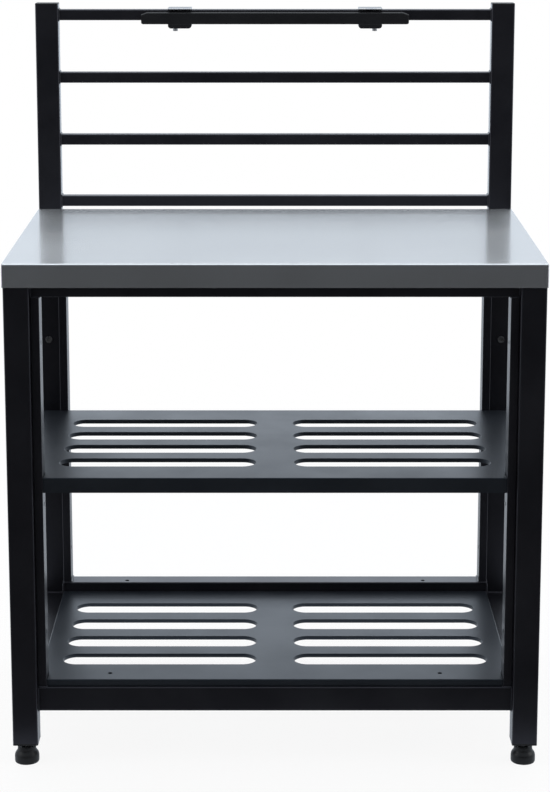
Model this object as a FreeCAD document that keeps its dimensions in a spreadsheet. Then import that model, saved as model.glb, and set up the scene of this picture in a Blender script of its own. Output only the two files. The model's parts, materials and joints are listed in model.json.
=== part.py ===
"""Modular outdoor kitchen: a welded tube frame on adjustable feet, a stainless worktop,
two slotted shelves and a rear rack that carries a clamp-on tool bar.

Millimetres, +Z up, the front towards -Y, the origin on the floor under the middle.
"""

import FreeCAD, Part
import math
import os

import Sketcher
from FreeCAD import Placement, Rotation, Vector

SIZES = {
    # Worktop pan and the channels under it
    "worktop_width": 900.0,
    "worktop_depth": 566.0,
    "worktop_height": 875.0,
    "apron_height": 40.0,
    "pan_sheet": 1.2,
    "pan_edge_radius": 2.0,
    "pan_gap": 0.4,
    "stiffener_width": 40.0,
    "stiffener_height": 15.0,
    "stiffener_wall": 1.5,
    "stiffener_pitch": 250.0,
    # Legs, rails and uprights
    "rear_overhang": 24.4,
    "leg_side": 43.0,
    "leg_wall": 2.0,
    "leg_radius": 3.0,
    "rail_height": 43.0,
    "rail_depth": 38.0,
    "rail_wall": 2.0,
    "rail_radius": 2.5,
    "bottom_rail_top": 135.5,
    "ledge_rise": 16.5,
    "inner_setback": 16.0,
    "rear_setback": 28.0,
    "upright_width": 15.0,
    "upright_depth": 40.0,
    "upright_wall": 1.5,
    "upright_radius": 1.5,
    "panel_hole": 8.0,
    "panel_hole_drop": 80.8,
    "panel_hole_middle": 455.0,
    "panel_hole_low": 229.0,
    # Shelves
    "shelf_sheet": 1.5,
    "shelf_setback": 4.0,
    "mid_shelf_top": 505.0,
    "mid_lip": 26.0,
    "mid_collar": 7.0,
    "lower_lip": 12.5,
    "lower_collar": 3.5,
    "lower_side_gap": 2.4,
    "collar_wall": 1.2,
    "slot_width": 49.5,
    "slot_bridge": 66.0,
    "slot_margin": 19.0,
    "slot_pitch": 87.0,
    "slot_rows": 4,
    "fixing_hole": 8.0,
    "fixing_spacing": 568.0,
    "fixing_inset": 29.0,
    "ledge_hole_inset": 12.0,
    "shelf_bolt": 6.0,
    "shelf_bolt_length": 14.0,
    "shelf_head": 10.0,
    "shelf_head_height": 4.0,
    "mid_bolt_drop": 13.0,
    "lower_bolt_drop": 7.0,
    "lower_bolt_spread": 40.0,
    "lower_bolt_inset": 20.4,
    "bolt_clearance": 0.2,
    # Rear rack
    "post_width": 43.0,
    "post_depth": 30.0,
    "post_wall": 2.0,
    "post_radius": 3.0,
    "post_rise": 388.5,
    "post_drop": 275.0,
    "cap_plate": 2.5,
    "cap_plug": 12.0,
    "cap_fit": 0.2,
    "bar_side": 20.0,
    "bar_wall": 1.5,
    "bar_radius": 2.0,
    "top_bar_drop": 22.0,
    "bar_pitch": 117.4,
    "rack_bolt": 8.0,
    "rack_bolt_high_drop": 85.0,
    "rack_bolt_low_drop": 239.0,
    "rack_bolt_recess": 3.0,
    "rack_head": 14.0,
    "rack_head_height": 4.0,
    "sleeve": 18.0,
    "nut_barrel": 10.6,
    "nut_barrel_length": 12.0,
    "nut_flange": 13.0,
    "nut_flange_height": 1.2,
    # Tool bar and its clamps
    "tool_bar_length": 500.0,
    "tool_bar_height": 25.0,
    "tool_bar_depth": 12.0,
    "tool_bar_radius": 3.0,
    "tool_bar_drop": 1.5,
    "tool_bar_gap": 0.5,
    "clamp_spacing": 356.0,
    "clamp_width": 44.0,
    "clamp_plate": 6.0,
    "clamp_gap": 0.3,
    "clamp_jaw": 8.0,
    "clamp_screw": 6.0,
    "clamp_screw_offset": 9.0,
    "clamp_knob": 9.0,
    "clamp_knob_height": 6.0,
    # Adjustable feet
    "glide": 42.0,
    "glide_height": 17.0,
    "glide_side": 7.0,
    "glide_edge": 1.5,
    "glide_collar": 19.0,
    "glide_floor": 8.0,
    "glide_dome_radius": 5.0,
    "glide_fit": 0.2,
    "hexagon": 17.0,
    "hexagon_height": 9.0,
    "lock_nut_height": 10.0,
    "stud": 10.0,
    "stud_length": 68.0,
    "thread_gap": 0.05,
    "insert_plate": 3.0,
    "insert_plug": 20.0,
    "insert_fit": 0.2,
}

PLACES = {
    # Front to back, measured on Y
    "front_y": "-(Sizes.worktop_depth + Sizes.post_depth + Sizes.rack_head_height) / 2",
    "leg_front_y": "front_y + Sizes.pan_sheet + Sizes.pan_gap",
    "post_front_y": "front_y + Sizes.worktop_depth",
    "leg_rear_y": "post_front_y - Sizes.rear_overhang",
    "rear_leg_front_y": "leg_rear_y - Sizes.leg_side",
    "inner_front_y": "leg_front_y + Sizes.inner_setback",
    "inner_rear_y": "leg_rear_y - Sizes.rear_setback - Sizes.upright_depth",
    "shelf_front_y": "inner_front_y + Sizes.shelf_setback",
    "shelf_notch_y": "inner_front_y + Sizes.upright_depth",
    "post_middle_y": "post_front_y + Sizes.post_depth / 2",
    "tool_bar_rear_y": "post_middle_y - Sizes.bar_side / 2 - Sizes.tool_bar_gap",
    # Middle to side, measured on X
    "leg_outer_x": "Sizes.worktop_width / 2 - Sizes.pan_sheet - Sizes.pan_gap",
    "leg_middle_x": "leg_outer_x - Sizes.leg_side / 2",
    "leg_inner_x": "leg_outer_x - Sizes.leg_side",
    "upright_middle_x": "leg_inner_x - Sizes.upright_width / 2",
    "upright_inner_x": "leg_inner_x - Sizes.upright_width",
    "post_middle_x": "leg_outer_x - Sizes.post_width / 2",
    "post_inner_x": "leg_outer_x - Sizes.post_width",
    "slot_inner_x": "Sizes.slot_bridge / 2",
    "slot_outer_x": "upright_inner_x - Sizes.slot_margin",
    "lower_bolt_near_x": "Sizes.lower_bolt_spread / 2",
    "lower_bolt_far_x": "leg_inner_x - Sizes.lower_bolt_inset",
    # Floor to top, measured on Z
    "leg_base_z": "Sizes.glide_height + Sizes.hexagon_height + Sizes.lock_nut_height",
    "leg_tube_z": "leg_base_z + Sizes.insert_plate",
    "lower_shelf_top": "Sizes.bottom_rail_top + Sizes.lower_lip",
    "ledge_z": "lower_shelf_top + Sizes.ledge_rise",
    "frame_top_z": "Sizes.worktop_height - Sizes.pan_sheet - Sizes.stiffener_height",
    "frame_under_z": "frame_top_z - Sizes.rail_height",
    "panel_hole_high": "frame_under_z - Sizes.panel_hole_drop",
    "rack_bolt_low_z": "Sizes.worktop_height - Sizes.rack_bolt_low_drop",
    "rack_bolt_high_z": "Sizes.worktop_height - Sizes.rack_bolt_high_drop",
    "post_bottom_z": "Sizes.worktop_height - Sizes.post_drop",
    "post_top_z": "Sizes.worktop_height + Sizes.post_rise",
    "top_bar_z": "post_top_z - Sizes.top_bar_drop",
    "tool_bar_top_z": "top_bar_z + Sizes.bar_side / 2 - Sizes.tool_bar_drop",
    "tool_bar_under_z": "tool_bar_top_z - Sizes.tool_bar_height",
    "jaw_under_z": "tool_bar_under_z - Sizes.clamp_jaw",
    "bar_under_z": "top_bar_z - Sizes.bar_side / 2",
}

UP = Rotation()
ALONG_X = Rotation(Vector(0, 1, 0), 90)
TO_REAR = Rotation(Vector(1, 0, 0), -90)
TO_FRONT = Rotation(Vector(1, 0, 0), 90)
SIDES = (("left", -1), ("right", 1))

doc = FreeCAD.newDocument("outdoor_kitchen")
nodes = []
pockets = []


def fill_sheet(name, cells):
    """A sheet with one named row for each entry."""
    sheet = doc.addObject("Spreadsheet::Sheet", name)
    for row, (alias, content) in enumerate(cells.items(), start=1):
        sheet.set(f"A{row}", alias)
        sheet.setAlias(f"B{row}", alias)
        sheet.set(f"B{row}", content)
    return sheet


sizes = fill_sheet("Sizes", {alias: str(number) for alias, number in SIZES.items()})
fill_sheet("Places", {alias: "=" + formula for alias, formula in PLACES.items()})
doc.recompute()


def value(expression):
    return float(sizes.evalExpression(str(expression)))


def place(item, rotation, x, y, z):
    """Turn an object and tie its origin to three expressions."""
    item.Placement = Placement(Vector(value(x), value(y), value(z)), rotation)
    for axis, expression in zip("xyz", (x, y, z)):
        item.setExpression(f"Placement.Base.{axis}", str(expression))


# Sketch helpers


def new_body(label):
    body = doc.addObject("PartDesign::Body", label)
    body.Label = label
    nodes.append(body)
    return body


def new_sketch(body, plane, offset=None):
    """A sketch on one of the body's own origin planes, lifted by an optional offset."""
    sketch = body.newObject("Sketcher::SketchObject", body.Label + "_sketch")
    support = next(item for item in body.Origin.OriginFeatures if item.Role == plane)
    sketch.AttachmentSupport = [(support, "")]
    sketch.MapMode = "FlatFace"
    if offset is not None:
        sketch.AttachmentOffset = Placement(Vector(0, 0, value(offset)), Rotation())
        sketch.setExpression("AttachmentOffset.Base.z", offset)
    return sketch


def dimension(sketch, kind, references, expression):
    """A dimension that follows an expression."""
    index = sketch.addConstraint(Sketcher.Constraint(kind, *references, value(expression)))
    sketch.setExpression(f"Constraints[{index}]", str(expression))


def locate(sketch, geometry, point, x, y):
    """Tie a point of the sketch to two coordinates."""
    dimension(sketch, "DistanceX", (-1, 1, geometry, point), x)
    dimension(sketch, "DistanceY", (-1, 1, geometry, point), y)


def draw_polygon(sketch, points):
    """A closed outline through corners given as pairs of expressions."""
    first = sketch.GeometryCount
    corners = [Vector(value(x), value(y), 0) for x, y in points]
    for start, end in zip(corners, corners[1:] + corners[:1]):
        sketch.addGeometry(Part.LineSegment(start, end))
    for index, (x, y) in enumerate(points):
        following = first + (index + 1) % len(points)
        sketch.addConstraint(Sketcher.Constraint("Coincident", first + index, 2, following, 1))
        locate(sketch, first + index, 1, x, y)


def draw_rectangle(sketch, width, depth):
    """A rectangle about the sketch's origin."""
    x, y = f"({width}) / 2", f"({depth}) / 2"
    draw_polygon(sketch, [(f"-{x}", f"-{y}"), (x, f"-{y}"), (x, y), (f"-{x}", y)])


def draw_rounded_rectangle(sketch, width, depth, radius):
    """A rectangle about the sketch's origin with four equal round corners."""
    first = sketch.GeometryCount
    reach_x = value(width) / 2 - value(radius)
    reach_y = value(depth) / 2 - value(radius)
    centres = [Vector(x * reach_x, y * reach_y, 0) for x, y in ((1, 1), (-1, 1), (-1, -1), (1, -1))]
    arcs = []
    for quarter, centre in enumerate(centres):
        circle = Part.Circle(centre, Vector(0, 0, 1), value(radius))
        arcs.append(Part.ArcOfCircle(circle, quarter * math.pi / 2, (quarter + 1) * math.pi / 2))
    for quarter, arc in enumerate(arcs):
        sketch.addGeometry(arc)
        sketch.addGeometry(Part.LineSegment(arc.EndPoint, arcs[(quarter + 1) % 4].StartPoint))
    for quarter in range(4):
        arc, line = first + 2 * quarter, first + 2 * quarter + 1
        following = first + (2 * quarter + 2) % 8
        sketch.addConstraint(Sketcher.Constraint("Tangent", arc, 2, line, 1))
        sketch.addConstraint(Sketcher.Constraint("Tangent", line, 2, following, 1))
        sketch.addConstraint(Sketcher.Constraint("Vertical" if quarter % 2 else "Horizontal", line))
        if quarter:
            sketch.addConstraint(Sketcher.Constraint("Equal", first, arc))
    top, left, bottom, right = (first + 1, first + 3, first + 5, first + 7)
    sketch.addConstraint(Sketcher.Constraint("Symmetric", first, 3, first + 4, 3, -1, 1))
    dimension(sketch, "DistanceX", (left, 1, right, 1), width)
    dimension(sketch, "DistanceY", (bottom, 1, top, 1), depth)
    dimension(sketch, "Radius", (first,), radius)


def draw_circle(sketch, x, y, diameter):
    centre = Vector(value(x), value(y), 0)
    index = sketch.addGeometry(Part.Circle(centre, Vector(0, 0, 1), value(diameter) / 2))
    locate(sketch, index, 3, x, y)
    dimension(sketch, "Diameter", (index,), diameter)


def draw_slot(sketch, start, end, y, width):
    """A slot along X, from start to end, with half-round ends."""
    first = sketch.GeometryCount
    ends = [f"{start} + ({width}) / 2", f"{end} - ({width}) / 2"]
    left, right = (Vector(value(end), value(y), 0) for end in ends)
    radius = value(width) / 2
    up = Vector(0, radius, 0)
    across = Vector(radius, 0, 0)
    sketch.addGeometry(Part.Arc(left + up, left - across, left - up))
    sketch.addGeometry(Part.LineSegment(left - up, right - up))
    sketch.addGeometry(Part.Arc(right - up, right + across, right + up))
    sketch.addGeometry(Part.LineSegment(right + up, left + up))
    for index in range(4):
        following = first + (index + 1) % 4
        sketch.addConstraint(Sketcher.Constraint("Tangent", first + index, 2, following, 1))
    sketch.addConstraint(Sketcher.Constraint("Equal", first, first + 2))
    locate(sketch, first, 3, ends[0], y)
    locate(sketch, first + 2, 3, ends[1], y)
    dimension(sketch, "Diameter", (first,), width)


# Feature helpers


def pad(body, sketch, length, reverse=False):
    feature = body.newObject("PartDesign::Pad", body.Label + "_pad")
    feature.Profile = sketch
    feature.setExpression("Length", length)
    feature.Reversed = reverse
    doc.recompute()
    return feature


def pocket(body, sketch, length=None, reverse=False):
    """A cut of the given length, or through everything on both sides of the sketch."""
    feature = body.newObject("PartDesign::Pocket", body.Label + "_pocket")
    feature.Profile = sketch
    if length is None:
        feature.Type = "ThroughAll"
        feature.SideType = "Symmetric"
    else:
        feature.setExpression("Length", length)
        feature.Reversed = reverse
    pockets.append(feature)
    doc.recompute()
    return feature


def drill(body, plane, centres, diameter, length=None, reverse=False, offset=None):
    """Round holes, square to one of the body's origin planes."""
    sketch = new_sketch(body, plane, offset)
    for x, y in centres:
        draw_circle(sketch, x, y, diameter)
    pocket(body, sketch, length, reverse)


def repeat_rows(body, feature):
    """The slot rows of a shelf, from its first row."""
    rows = body.newObject("PartDesign::LinearPattern", body.Label + "_rows")
    rows.Originals = [feature]
    rows.Direction = (feature.Profile[0], ["V_Axis"])
    rows.setExpression("Length", "Sizes.slot_pitch * (Sizes.slot_rows - 1)")
    rows.setExpression("Occurrences", "Sizes.slot_rows")
    body.Tip = rows
    doc.recompute()


def round_edges(body, base, radius, wanted):
    """A fillet on the edges of the base for which wanted is true, in the body's own frame."""
    names = [f"Edge{number}" for number, edge in enumerate(base.Shape.Edges, 1) if wanted(edge)]
    fillet = body.newObject("PartDesign::Fillet", body.Label + "_fillet")
    fillet.Base = (base, names)
    fillet.setExpression("Radius", radius)
    doc.recompute()


def tube(label, section, length, rotation, x, y, z):
    """A straight rectangular tube; the section is width, depth, wall and corner radius."""
    width, depth, wall, radius = (f"Sizes.{name}" for name in section)
    body = new_body(label)
    sketch = new_sketch(body, "XY_Plane")
    draw_rounded_rectangle(sketch, width, depth, radius)
    draw_rectangle(sketch, f"{width} - 2 * {wall}", f"{depth} - 2 * {wall}")
    pad(body, sketch, length)
    place(body, rotation, x, y, z)
    return body


def cylinder(diameter, length, rotation, x, y, z):
    item = doc.addObject("Part::Cylinder", "cylinder")
    item.setExpression("Radius", f"({diameter}) / 2")
    item.setExpression("Height", length)
    place(item, rotation, x, y, z)
    return item


def hexagon(height, x, y, z):
    item = doc.addObject("Part::Prism", "hexagon")
    item.Polygon = 6
    item.setExpression("Circumradius", "Sizes.hexagon / 2 / cos(30)")
    item.setExpression("Height", height)
    place(item, UP, x, y, z)
    return item


def fuse(base, tool):
    item = doc.addObject("Part::Fuse", "fused")
    item.Base = base
    item.Tool = tool
    return item


def cut(base, tool):
    item = doc.addObject("Part::Cut", "cut")
    item.Base = base
    item.Tool = tool
    return item


def group(label, items):
    """Several loose solids of one kind under one name."""
    compound = doc.addObject("Part::Compound", label)
    compound.Label = label
    compound.Links = items
    nodes.append(compound)


def headed_bolt(bolt, head, head_height, length, rotation, x, y, z):
    """A bolt whose head starts at the point given and whose shank goes on past it."""
    head_part = cylinder(head, head_height, rotation, x, y, z)
    shank = cylinder(bolt, f"{head_height} + {length}", rotation, x, y, z)
    return fuse(head_part, shank)


# Worktop


def make_worktop():
    body = new_body("worktop_pan")
    outline = new_sketch(body, "XY_Plane")
    draw_rectangle(outline, "Sizes.worktop_width", "Sizes.worktop_depth")
    block = pad(body, outline, "Sizes.apron_height")
    round_edges(body, block, "Sizes.pan_edge_radius", lambda edge: edge.BoundBox.ZMax > value("Sizes.pan_sheet"))
    inside = new_sketch(body, "XY_Plane")
    draw_rectangle(inside, "Sizes.worktop_width - 2 * Sizes.pan_sheet",
                   "Sizes.worktop_depth - 2 * Sizes.pan_sheet")
    pocket(body, inside, "Sizes.apron_height - Sizes.pan_sheet", reverse=True)
    place(body, UP, 0, "Places.front_y + Sizes.worktop_depth / 2",
          "Sizes.worktop_height - Sizes.apron_height")


def make_stiffener(label, step):
    """A channel open to the pan, lying on the front and rear top rails."""
    body = new_body(label)
    profile = new_sketch(body, "XY_Plane")
    side, low = "Sizes.stiffener_width / 2", "Sizes.stiffener_height / 2"
    inner, web = f"({side} - Sizes.stiffener_wall)", f"({low} - Sizes.stiffener_wall)"
    draw_polygon(profile, [(f"-{side}", f"-{low}"), (f"-{inner}", f"-{low}"), (f"-{inner}", web),
                           (inner, web), (inner, f"-{low}"), (side, f"-{low}"), (side, low),
                           (f"-{side}", low)])
    pad(body, profile, "Sizes.worktop_depth - 2 * (Sizes.pan_sheet + Sizes.pan_gap)")
    place(body, TO_REAR, f"{step} * Sizes.stiffener_pitch", "Places.leg_front_y",
          "Places.frame_top_z + Sizes.stiffener_height / 2")


# Frame

LEG_SECTION = ("leg_side", "leg_side", "leg_wall", "leg_radius")
CROSS_SECTION = ("rail_height", "rail_depth", "rail_wall", "rail_radius")
SIDE_SECTION = ("leg_side", "rail_height", "rail_wall", "rail_radius")
UPRIGHT_SECTION = ("upright_width", "upright_depth", "upright_wall", "upright_radius")
POST_SECTION = ("post_width", "post_depth", "post_wall", "post_radius")
BAR_SECTION = ("bar_side", "bar_side", "bar_wall", "bar_radius")
CORNERS = {
    f"{end}_{side}": (f"{sign} * Places.leg_middle_x", y)
    for end, y in (("front", "Places.leg_front_y + Sizes.leg_side / 2"),
                   ("rear", "Places.leg_rear_y - Sizes.leg_side / 2"))
    for side, sign in SIDES
}
RACK_BOLT_LEVELS = ("Places.rack_bolt_low_z", "Places.rack_bolt_high_z")


def make_leg(corner, x, y):
    leg = tube(f"leg_{corner}", LEG_SECTION, "Places.frame_top_z - Places.leg_tube_z", UP,
               x, y, "Places.leg_tube_z")
    if corner.startswith("rear"):
        centres = [(0, f"{level} - Places.leg_tube_z") for level in RACK_BOLT_LEVELS]
        drill(leg, "XZ_Plane", centres, "Sizes.rack_bolt + 2 * Sizes.bolt_clearance", "Sizes.leg_side")
        drill(leg, "XZ_Plane", centres, "Sizes.nut_barrel + 2 * Sizes.bolt_clearance",
              "Sizes.leg_side", reverse=True)


def make_upright(end, side, sign):
    """A slim tube beside a leg, with panel holes inside and a shelf bolt's hole."""
    at_front = end == "front"
    foot = "Sizes.bottom_rail_top" if at_front else "Places.ledge_z"
    face = "Places.inner_front_y" if at_front else "Places.inner_rear_y"
    upright = tube(f"upright_{end}_{side}", UPRIGHT_SECTION, f"Places.frame_under_z - {foot}", UP,
                   f"{sign} * Places.upright_middle_x", f"{face} + Sizes.upright_depth / 2", foot)
    panel_levels = ("Sizes.panel_hole_low", "Sizes.panel_hole_middle", "Places.panel_hole_high")
    drill(upright, "YZ_Plane", [(0, f"{level} - {foot}") for level in panel_levels],
          "Sizes.panel_hole", "Sizes.upright_width", reverse=sign < 0)
    drill(upright, "XZ_Plane", [(0, f"Sizes.mid_shelf_top - Sizes.mid_bolt_drop - {foot}")],
          "Sizes.shelf_bolt + 2 * Sizes.bolt_clearance", "Sizes.upright_depth", reverse=not at_front)


def cross_rail(label, face, top):
    """A rail between the left and right legs, with its front face and top given."""
    return tube(label, CROSS_SECTION, "2 * Places.leg_inner_x", ALONG_X, "-Places.leg_inner_x",
                f"{face} + Sizes.rail_depth / 2", f"{top} - Sizes.rail_height / 2")


def side_rail(label, sign, top):
    """A rail between a front leg and the rear leg behind it."""
    return tube(label, SIDE_SECTION,
                "Places.rear_leg_front_y - Places.leg_front_y - Sizes.leg_side", TO_REAR,
                f"{sign} * Places.leg_middle_x", "Places.leg_front_y + Sizes.leg_side",
                f"{top} - Sizes.rail_height / 2")


def make_rails():
    cross_rail("top_rail_front", "Places.inner_front_y", "Places.frame_top_z")
    cross_rail("top_rail_rear", "Places.inner_rear_y", "Places.frame_top_z")
    cross_rail("bottom_rail_front", "Places.inner_front_y", "Sizes.bottom_rail_top")
    ledge = cross_rail("bottom_rail_rear", "Places.inner_rear_y", "Places.ledge_z")
    drill(ledge, "YZ_Plane",
          [("Sizes.ledge_hole_inset - Sizes.rail_depth / 2",
            f"Places.leg_inner_x + {sign} * Sizes.fixing_spacing / 2") for side, sign in SIDES],
          "Sizes.fixing_hole", "Sizes.rail_height")
    drop = "Sizes.ledge_rise + Sizes.lower_bolt_drop - Sizes.rail_height / 2"
    drill(ledge, "XZ_Plane", [(drop, f"Places.leg_inner_x + {x}") for x in LOWER_BOLTS],
          "Sizes.shelf_bolt + 2 * Sizes.bolt_clearance", "Sizes.rail_depth", reverse=True)
    for side, sign in SIDES:
        side_rail(f"top_rail_{side}", sign, "Places.frame_top_z")
        side_rail(f"bottom_rail_{side}", sign, "Sizes.bottom_rail_top")


# Shelves

LOWER_BOLTS = [f"{sign} * Places.lower_bolt_{reach}_x"
               for side, sign in SIDES for reach in ("near", "far")]
FIRST_ROW = ("(Places.shelf_front_y + Places.inner_rear_y) / 2"
             " - Sizes.slot_pitch * (Sizes.slot_rows - 1) / 2")


def shelf_outline(sketch, half_width, inset):
    """The tray's outline, notched round the front uprights and drawn in by the inset."""
    front, notch = f"Places.shelf_front_y + {inset}", f"Places.shelf_notch_y + {inset}"
    rear = f"Places.inner_rear_y - {inset}"
    narrow, wide = f"(Places.upright_inner_x - {inset})", f"({half_width} - {inset})"
    right = [(narrow, front), (narrow, notch), (wide, notch), (wide, rear)]
    left = [(f"-{x}", y) for x, y in reversed(right)]
    draw_polygon(sketch, right + left)


def slot_row(body, offset, wall):
    """The two slots of the first row, grown by a wall."""
    sketch = new_sketch(body, "XY_Plane", offset)
    inner, outer = f"(Places.slot_inner_x - {wall})", f"(Places.slot_outer_x + {wall})"
    for start, end in ((inner, outer), (f"-{outer}", f"-{inner}")):
        draw_slot(sketch, start, end, FIRST_ROW, f"Sizes.slot_width + 2 * {wall}")
    return sketch


def make_shelf(label, top, lip, half_width, collar):
    """A folded tray with flanged slots."""
    body = new_body(label)
    outline = new_sketch(body, "XY_Plane")
    shelf_outline(outline, half_width, "0")
    pad(body, outline, lip)
    hollow = new_sketch(body, "XY_Plane")
    shelf_outline(hollow, half_width, "Sizes.shelf_sheet")
    pocket(body, hollow, f"{lip} - Sizes.shelf_sheet", reverse=True)
    collars = slot_row(body, f"{lip} - Sizes.shelf_sheet - {collar}", "Sizes.collar_wall")
    repeat_rows(body, pad(body, collars, collar))
    repeat_rows(body, pocket(body, slot_row(body, lip, "0"), f"Sizes.shelf_sheet + {collar}"))
    place(body, UP, 0, 0, f"{top} - {lip}")
    return body


def make_mid_shelf():
    lip = "Sizes.mid_lip"
    shelf = make_shelf("mid_shelf", "Sizes.mid_shelf_top", lip, "Places.leg_outer_x", "Sizes.mid_collar")
    centres = [(f"{sign} * Places.upright_middle_x", f"{lip} - Sizes.mid_bolt_drop") for side, sign in SIDES]
    drill(shelf, "XZ_Plane", centres, "Sizes.shelf_bolt + 2 * Sizes.bolt_clearance")


def make_lower_shelf():
    lip = "Sizes.lower_lip"
    shelf = make_shelf("lower_shelf", "Places.lower_shelf_top", lip,
                       "(Places.leg_inner_x - Sizes.lower_side_gap)", "Sizes.lower_collar")
    drill(shelf, "XZ_Plane", [(x, f"{lip} - Sizes.lower_bolt_drop") for x in LOWER_BOLTS],
          "Sizes.shelf_bolt + 2 * Sizes.bolt_clearance", "Sizes.shelf_bolt_length",
          offset="-Places.inner_rear_y + Sizes.shelf_bolt_length")
    drill(shelf, "XY_Plane",
          [(f"{sign} * Sizes.fixing_spacing / 2", "Places.shelf_front_y + Sizes.fixing_inset")
           for side, sign in SIDES], "Sizes.fixing_hole")


def shelf_bolt(rotation, x, y, z):
    return headed_bolt("Sizes.shelf_bolt", "Sizes.shelf_head", "Sizes.shelf_head_height",
                       "Sizes.shelf_bolt_length", rotation, x, y, z)


def make_shelf_bolts():
    grip = "(Sizes.shelf_sheet + Sizes.shelf_head_height)"
    mid_level = "Sizes.mid_shelf_top - Sizes.mid_bolt_drop"
    lower_level = "Places.lower_shelf_top - Sizes.lower_bolt_drop"
    mid_bolts = []
    for side, sign in SIDES:
        x = f"{sign} * Places.upright_middle_x"
        mid_bolts.append(shelf_bolt(TO_FRONT, x, f"Places.shelf_notch_y + {grip}", mid_level))
        mid_bolts.append(shelf_bolt(TO_REAR, x, f"Places.inner_rear_y - {grip}", mid_level))
    group("mid_shelf_bolts", mid_bolts)
    group("lower_shelf_bolts",
          [shelf_bolt(TO_REAR, x, f"Places.inner_rear_y - {grip}", lower_level) for x in LOWER_BOLTS])


# Rear rack


def make_rack():
    for side, sign in SIDES:
        x = f"{sign} * Places.post_middle_x"
        post = tube(f"rack_post_{side}", POST_SECTION,
                    "Places.post_top_z - Sizes.cap_plate - Places.post_bottom_z", UP,
                    x, "Places.post_middle_y", "Places.post_bottom_z")
        shift = f"{sign} * (Sizes.post_width - Sizes.leg_side) / 2"
        drill(post, "XZ_Plane", [(shift, f"{level} - Places.post_bottom_z") for level in RACK_BOLT_LEVELS],
              "Sizes.rack_bolt + 2 * Sizes.bolt_clearance")
        make_cap(f"post_cap_{side}", x)
    for step, level in enumerate(("top", "upper", "lower", "bottom")):
        tube(f"rack_bar_{level}", BAR_SECTION, "2 * Places.post_inner_x", ALONG_X,
             "-Places.post_inner_x", "Places.post_middle_y",
             f"Places.top_bar_z - {step} * Sizes.bar_pitch")


def make_cap(label, x):
    """A plastic cap with a plug inside the post."""
    body = new_body(label)
    plate = new_sketch(body, "XY_Plane")
    draw_rounded_rectangle(plate, "Sizes.post_width", "Sizes.post_depth", "Sizes.post_radius")
    pad(body, plate, "Sizes.cap_plate")
    plug = new_sketch(body, "XY_Plane")
    draw_rectangle(plug, "Sizes.post_width - 2 * (Sizes.post_wall + Sizes.cap_fit)",
                   "Sizes.post_depth - 2 * (Sizes.post_wall + Sizes.cap_fit)")
    pad(body, plug, "Sizes.cap_plug", reverse=True)
    place(body, UP, x, "Places.post_middle_y", "Places.post_top_z - Sizes.cap_plate")


def make_rack_fixings():
    """Bolts from behind, through post, sleeve and rear leg into a flanged insert nut."""
    bore = "Sizes.rack_bolt + 2 * Sizes.bolt_clearance"
    gap = "Sizes.rear_overhang"
    reach = f"Sizes.post_depth + {gap} + Sizes.leg_side - Sizes.rack_bolt_recess"
    bolts, sleeves, nuts = [], [], []
    for side, sign in SIDES:
        x = f"{sign} * Places.leg_middle_x"
        for z in RACK_BOLT_LEVELS:
            bolts.append(headed_bolt(
                "Sizes.rack_bolt", "Sizes.rack_head", "Sizes.rack_head_height", reach, TO_FRONT,
                x, "Places.post_front_y + Sizes.post_depth + Sizes.rack_head_height", z))
            start = (TO_REAR, x, "Places.leg_rear_y", z)
            sleeves.append(cut(cylinder("Sizes.sleeve", gap, *start), cylinder(bore, gap, *start)))
            face = (TO_REAR, x, "Places.rear_leg_front_y - Sizes.nut_flange_height", z)
            nuts.append(cut(
                headed_bolt("Sizes.nut_barrel", "Sizes.nut_flange", "Sizes.nut_flange_height",
                            "Sizes.nut_barrel_length", *face),
                cylinder(bore, "Sizes.nut_flange_height + Sizes.nut_barrel_length", *face)))
    group("rack_bolts", bolts)
    group("rack_spacers", sleeves)
    group("rack_insert_nuts", nuts)


# Tool bar


def make_tool_bar():
    body = new_body("tool_bar")
    profile = new_sketch(body, "XY_Plane")
    draw_rounded_rectangle(profile, "Sizes.tool_bar_height", "Sizes.tool_bar_depth", "Sizes.tool_bar_radius")
    pad(body, profile, "Sizes.tool_bar_length")
    place(body, ALONG_X, "-Sizes.tool_bar_length / 2", "Places.tool_bar_rear_y - Sizes.tool_bar_depth / 2",
          "Places.tool_bar_top_z - Sizes.tool_bar_height / 2")


def make_clamp(label, sign):
    """A C-shaped clamp round the top rack bar, with a step that carries the tool bar."""
    body = new_body(label)
    inside = "(Sizes.bar_side / 2 + Sizes.clamp_gap)"
    outside = f"({inside} + Sizes.clamp_plate)"
    bar_rear = "(Places.tool_bar_rear_y - Places.post_middle_y)"
    bar_front = f"({bar_rear} - Sizes.tool_bar_depth)"
    step = "(Places.top_bar_z - Places.tool_bar_under_z)"
    jaw = "(Places.top_bar_z - Places.jaw_under_z)"
    profile = new_sketch(body, "XY_Plane")
    draw_polygon(profile, [(f"-{outside}", bar_front), (f"-{outside}", outside), (jaw, outside),
                           (jaw, bar_front), (step, bar_front), (step, bar_rear), (inside, bar_rear),
                           (inside, inside), (f"-{inside}", inside), (f"-{inside}", bar_front)])
    pad(body, profile, "Sizes.clamp_width")
    drill(body, "YZ_Plane", [(0, f"Sizes.clamp_width / 2 + {sign} * Sizes.clamp_screw_offset")],
          "Sizes.clamp_screw + 2 * Sizes.thread_gap", f"{jaw} + Sizes.clamp_jaw", reverse=True)
    place(body, ALONG_X, f"{sign} * Sizes.clamp_spacing / 2 - Sizes.clamp_width / 2",
          "Places.post_middle_y", "Places.top_bar_z")


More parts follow.
